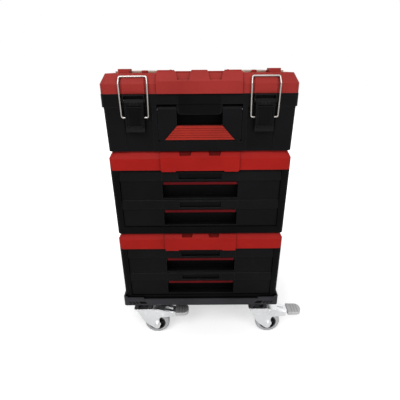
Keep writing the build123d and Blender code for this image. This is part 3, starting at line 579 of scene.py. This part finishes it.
print("stage: latches")
latch = {
    "x": 155, "pinZ": 743, "hoodHalf": 25.6, "cheekHalf": 23.2, "hoodLow": 749.8,
    "bridgeLow": 753.7, "hoodTop": 756.8, "hoodFront": frontPlane - 9.4,
    "hoodRear": frontPlane + 0.4, "bridgeRounding": 1.0,
    "cheekInset": 0.4, "cheekDrop": 1, "cheekRounding": 0.6,
    "headX": 26.9, "headY": frontPlane - 4.5, "headRadius": 3.4, "headHeight": 1.2,
}
for sign, hand in ((-1, "left"), (1, "right")):
    x = sign * latch["x"]
    bm = bmesh.new()
    addBlock(
        bm, (x - latch["hoodHalf"], latch["hoodFront"], latch["bridgeLow"]),
        (x + latch["hoodHalf"], latch["hoodRear"], latch["hoodTop"]), latch["bridgeRounding"], 3,
    )
    for side in (-1, 1):
        x0, x1 = sorted((x + side * latch["cheekHalf"], x + side * latch["hoodHalf"]))
        addBlock(
            bm, (x0, latch["hoodFront"] + latch["cheekInset"], latch["hoodLow"]),
            (x1, latch["hoodRear"], latch["hoodTop"] - latch["cheekDrop"]),
            latch["cheekRounding"],
        )
        addPanHead(
            bm, (x + side * latch["headX"], latch["headY"], latch["pinZ"]),
            latch["headRadius"], latch["headHeight"], (side, 0, 0),
        )
    makePiece(f"latchHood_{hand}", bm, "black_plastic", "top_box")

lever = {
    "face": frontPlane - 9.8, "half": 20.4, "bead": 1.5, "low": 679.6, "high": 727.6,
    "lowCorner": 8, "highCorner": 2.5, "sunk": 0.2,
    "blockHalf": 19, "blockLow": 732.6, "blockTop": 740.4, "blockFront": 1.7, "blockRear": 1,
    "blockRounding": 0.9,
    "ribPitch": 8, "ribHalf": 1, "ribFront": 2.1, "ribRear": 1, "ribInset": 1.6,
    "ribRounding": 0.4,
    "panelHalf": 12.5, "panelLow": 684, "panelHigh": 723, "panelFront": 1.0, "panelRear": 1.9,
    "panelRounding": 0.3,
}


# A closed outline in x and z, with one radius for its two lower corners and one for its upper ones
def roundedLoop(half, low, high, lowCorner, highCorner, steps=6):
    quarter = [math.radians(90 * step / steps) for step in range(steps + 1)]
    side = [
        (half - lowCorner * (1 - math.sin(a)), low + lowCorner * (1 - math.cos(a)))
        for a in quarter
    ]
    side += [
        (half - highCorner * (1 - math.cos(a)), high - highCorner * (1 - math.sin(a)))
        for a in quarter
    ]
    return side + [(-x, z) for x, z in reversed(side)]


for sign, hand in ((-1, "left"), (1, "right")):
    x = sign * latch["x"]
    face = lever["face"]
    loop = roundedLoop(
        lever["half"], lever["low"], lever["high"], lever["lowCorner"], lever["highCorner"],
    )
    addBead(
        f"leverFrame_{hand}", [(x + dx, face - lever["sunk"], z) for dx, z in loop],
        lever["bead"], "black_plastic", f"{hand}_lever", closed=True,
    )
    bm = bmesh.new()
    addBlock(
        bm, (x - lever["blockHalf"], face - lever["blockFront"], lever["blockLow"]),
        (x + lever["blockHalf"], face + lever["blockRear"], lever["blockTop"]),
        lever["blockRounding"], 3,
    )
    for step in (-1, 0, 1):
        middle = x + lever["ribPitch"] * step
        low, high = lever["blockLow"] + lever["ribInset"], lever["blockTop"] - lever["ribInset"]
        addBlock(
            bm, (middle - lever["ribHalf"], face - lever["ribFront"], low),
            (middle + lever["ribHalf"], face - lever["ribRear"], high), lever["ribRounding"],
        )
    makePiece(f"leverBlock_{hand}", bm, "black_plastic", f"{hand}_lever")
    # painted shade: a dark sheet at the back of the lever's recess
    bm = bmesh.new()
    addBlock(
        bm, (x - lever["panelHalf"], face + lever["panelFront"], lever["panelLow"]),
        (x + lever["panelHalf"], face + lever["panelRear"], lever["panelHigh"]),
        lever["panelRounding"],
    )
    makePiece(f"leverRecessShade_{hand}", bm, "black_plastic", f"{hand}_lever", paintedShadeBlack)

print("stage: top box")
window = {
    "half": 51.2, "low": 710.4, "step": 734, "top": 756.5, "face": frontPlane + 2.8,
    "rim": frontPlane - 0.2, "corner": 6, "cornerSteps": 6, "bead": 0.9,
    "paneHalf": 50.4, "paneThick": 0.5, "paneSunk": 0.2, "paneRear": 0.2,
    "paneOverBead": 1.2, "paneUnderStep": 0.4, "paneOverStep": 0.2, "paneRounding": 0.2,
}
quarter = [
    math.radians(90 * step / window["cornerSteps"]) for step in range(window["cornerSteps"] + 1)
]
arc = [
    (
        window["half"] - window["corner"] * (1 - math.cos(a)),
        window["low"] + window["corner"] * (1 - math.sin(a)),
    )
    for a in quarter
]
rightSide = [(window["half"], window["step"])] + arc
outline = rightSide + [(-x, z) for x, z in reversed(rightSide)]
addBead(
    "windowBead", [(x, window["face"], z) for x, z in outline], window["bead"],
    "black_plastic", "top_box",
)
for sign, hand in ((-1, "left"), (1, "right")):
    ends = [(sign * window["half"], window["rim"], z) for z in (window["step"], window["top"])]
    addBead(f"windowSide_{hand}", ends, window["bead"], "black_plastic", "top_box")
# painted shade: dark sheets set in the window recess, in place of its shade
shadeSheets = (
    (
        window["face"], window["low"] + window["paneOverBead"],
        window["step"] - window["paneUnderStep"],
    ),
    (window["rim"], window["step"] + window["paneOverStep"], window["top"]),
)
for index, (front, low, high) in enumerate(shadeSheets):
    face = front + window["paneSunk"]
    bm = bmesh.new()
    addBlock(
        bm, (-window["paneHalf"], face - window["paneThick"], low),
        (window["paneHalf"], face + window["paneRear"], high), window["paneRounding"],
    )
    makePiece(f"windowRecessShade_{index}", bm, "black_plastic", "top_box", paintedShadeBlack)

catch = {
    "places": ((-130, 7), (130, 6), (166, 7)), "front": frontPlane + 29,
    "back": frontPlane + 39.5, "low": 801.8, "rise": 6.4, "rounding": 1.6,
    "ribShares": (-0.45, 0, 0.45), "ribHalf": 0.7, "ribInset": 1.5, "ribRise": 0.6,
    "ribRounding": 0.4,
}
for index, (x, half) in enumerate(catch["places"]):
    top = catch["low"] + catch["rise"]
    bm = bmesh.new()
    addBlock(
        bm, (x - half, catch["front"], catch["low"]), (x + half, catch["back"], top),
        catch["rounding"], 3,
    )
    for share in catch["ribShares"]:
        middle = x + share * half
        addBlock(
            bm,
            (middle - catch["ribHalf"], catch["front"] + catch["ribInset"], top - catch["ribRise"]),
            (middle + catch["ribHalf"], catch["back"] - catch["ribInset"], top + catch["ribRise"]),
            catch["ribRounding"],
        )
    makePiece(f"coverCatch_{index}", bm, "lid_plastic", "lid")

ridge = {
    "places": ((-78, 20), (0, 19), (78, 20)), "front": frontPlane + 10, "back": frontPlane + 20,
    "low": 805.4, "top": 809.2, "rounding": 1.5,
}
for index, (x, half) in enumerate(ridge["places"]):
    bm = bmesh.new()
    addBlock(
        bm, (x - half, ridge["front"], ridge["low"]), (x + half, ridge["back"], ridge["top"]),
        ridge["rounding"], 3,
    )
    makePiece(f"lidRidge_{index}", bm, "lid_plastic", "lid")

print("stage: drawers")
label = {
    "half": 56, "low": 59.5, "high": 74.5, "face": frontPlane - 1.2, "bandLow": 55,
    "bandHigh": 78.4, "lean": 3, "bar": 1.2, "proud": 0.5, "barRear": 2, "sideRear": 2.4,
    "rounding": 0.35, "plateFace": frontPlane + 3.6, "plateRear": frontPlane + 4.9,
    "plateInset": 0.6, "plateRounding": 0.3,
}
drawerLows = {"bottom": 21.7, "top": 102.35}
cabinetLows = {"lower": 149, "middle": 384.5}


# The y of the leaning pod face at a height above the drawer's bottom
def podFace(height):
    share = (height - label["bandLow"]) / (label["bandHigh"] - label["bandLow"])
    return label["face"] + label["lean"] * share


for level in levels:
    for row in rows:
        base = cabinetLows[level] + drawerLows[row]
        proud, bar, half = label["proud"], label["bar"], label["half"]
        bm = bmesh.new()
        for z0 in (label["low"] - bar, label["high"]):
            face = podFace(z0 + bar / 2)
            addBlock(
                bm, (-half - bar, face - proud, base + z0),
                (half + bar, face + label["barRear"], base + z0 + bar), label["rounding"],
            )
        middle = podFace((label["low"] + label["high"]) / 2)
        for side in (-1, 1):
            x0, x1 = sorted((side * half, side * (half + bar)))
            addBlock(
                bm, (x0, middle - proud, base + label["low"]),
                (x1, middle + label["sideRear"], base + label["high"]), label["rounding"],
            )
        body = f"{level}_{row}_drawer"
        makePiece(f"labelFrame_{level}_{row}", bm, "black_plastic", body)
        # painted shade: a dark sheet at the back of the label slot
        inset = label["plateInset"]
        bm = bmesh.new()
        addBlock(
            bm, (-half + inset, label["plateFace"], base + label["low"] + inset),
            (half - inset, label["plateRear"], base + label["high"] - inset),
            label["plateRounding"],
        )
        makePiece(f"labelSlotShade_{level}_{row}", bm, "black_plastic", body, paintedShadeBlack)

print("stage: cap notches")
notch = {
    "x": 37.5, "lowHalf": 13.2, "topHalf": 17, "low": 224.6, "top": 234.9,
    "ridge": 216.2, "inset": 10, "rise": 19, "proud": 0.5, "thick": 0.6,
}
# painted shade: dark red sheets on the notch floors of each cap
for level in levels:
    bm = bmesh.new()
    for side in (-1, 1):
        outline = []
        for half, z in (
            (-notch["lowHalf"], notch["low"]), (notch["lowHalf"], notch["low"]),
            (notch["topHalf"], notch["top"]), (-notch["topHalf"], notch["top"]),
        ):
            y = frontPlane + notch["inset"] * (z - notch["ridge"]) / notch["rise"]
            outline.append((side * notch["x"] + half, y - notch["proud"], cabinetLows[level] + z))
        addSlab(bm, outline, notch["thick"])
    makePiece(f"capNotchShade_{level}", bm, "red_plastic", f"{level}_cabinet", notchShadeRed)

print("stage: dolly marks")
chevronShade = {
    "outer": 223, "low": 141, "high": 150.5, "lean": 8, "width": 5, "pitch": 10, "count": 3,
    "wide": 21, "floor": frontPlane - 3, "thick": 0.4, "sunk": 0.1, "play": 0.3,
}
# painted shade: dark sheets in the chevron recesses of the dolly's front lip
for sign, hand in ((-1, "left"), (1, "right")):
    bm = bmesh.new()
    for index in range(chevronShade["count"] + 1):
        width = (chevronShade["wide"] if index == chevronShade["count"] else chevronShade["width"]) - 2 * chevronShade["play"]
        top = chevronShade["outer"] - chevronShade["pitch"] * index - chevronShade["play"]
        low, high = chevronShade["low"] + chevronShade["play"], chevronShade["high"] - chevronShade["play"]
        foot = top - chevronShade["lean"]
        outline = [(top, high), (foot, low), (foot - width, low), (top - width, high)]
        front = chevronShade["floor"] - chevronShade["thick"]
        addSlab(bm, [(sign * x, front, z) for x, z in outline], chevronShade["thick"] + chevronShade["sunk"])
    makePiece(f"dollyChevronShade_{hand}", bm, "dolly_plastic", "dolly", paintedShadeBlack)

print("stage: casters")
caster = {
    "swivelX": 181.5, "swivelY": 148, "trail": 37.5, "wheelZ": 40, "legFace": 17.4,
    "tyreFace": 12.0,
    "turns": {"front_left": 0, "front_right": 0, "rear_left": 165, "rear_right": 190},
    "bossOuter": 12, "bossInner": 7.4, "bossThick": 1.6, "bossBevel": 0.3,
    "heads": ((2, 84, 3.4), (58, 78, 3.0)), "headProud": 0.5, "headHeight": 1.6,
    "beads": ((34.2, 32.8), (29.4, 28.4)), "beadThick": 0.9, "beadSunk": 0.2,
    "beadSegments": 56, "beadBevel": 0.2,
}


def casterTurn(corner):
    return Matrix.Rotation(math.radians(caster["turns"][corner]), 3, "Z")


# A point given in the caster's own frame, in millimetres
def casterSpot(corner, x, y, z):
    side, hand = corner.split("_")
    place = Vector((
        caster["swivelX"] if hand == "right" else -caster["swivelX"],
        -caster["swivelY"] if side == "front" else caster["swivelY"], 0,
    ))
    return place + casterTurn(corner) @ Vector((x, y, z))


for corner in corners:
    across = casterTurn(corner) @ Vector((0, 1, 0))
    bm = bmesh.new()
    for face in (-1, 1):
        y = face * caster["legFace"]
        addRing(
            bm, casterSpot(corner, caster["trail"], y, caster["wheelZ"]), caster["bossOuter"],
            caster["bossInner"], caster["bossThick"], across, bevel=caster["bossBevel"],
        )
        for x, z, radius in caster["heads"]:
            spot = casterSpot(corner, x, y + face * caster["headProud"], z)
            addPanHead(bm, spot, radius, caster["headHeight"], across * face)
    makePiece(f"forkBosses_{corner}", bm, "zinc_plate", f"{corner}_caster")
    bm = bmesh.new()
    for face in (-1, 1):
        y = face * (caster["tyreFace"] - caster["beadSunk"])
        for outer, inner in caster["beads"]:
            addRing(
                bm, casterSpot(corner, caster["trail"], y, caster["wheelZ"]), outer, inner,
                caster["beadThick"], across, caster["beadSegments"], caster["beadBevel"],
            )
    makePiece(f"tyreBeads_{corner}", bm, "grey_rubber", f"{corner}_wheel")
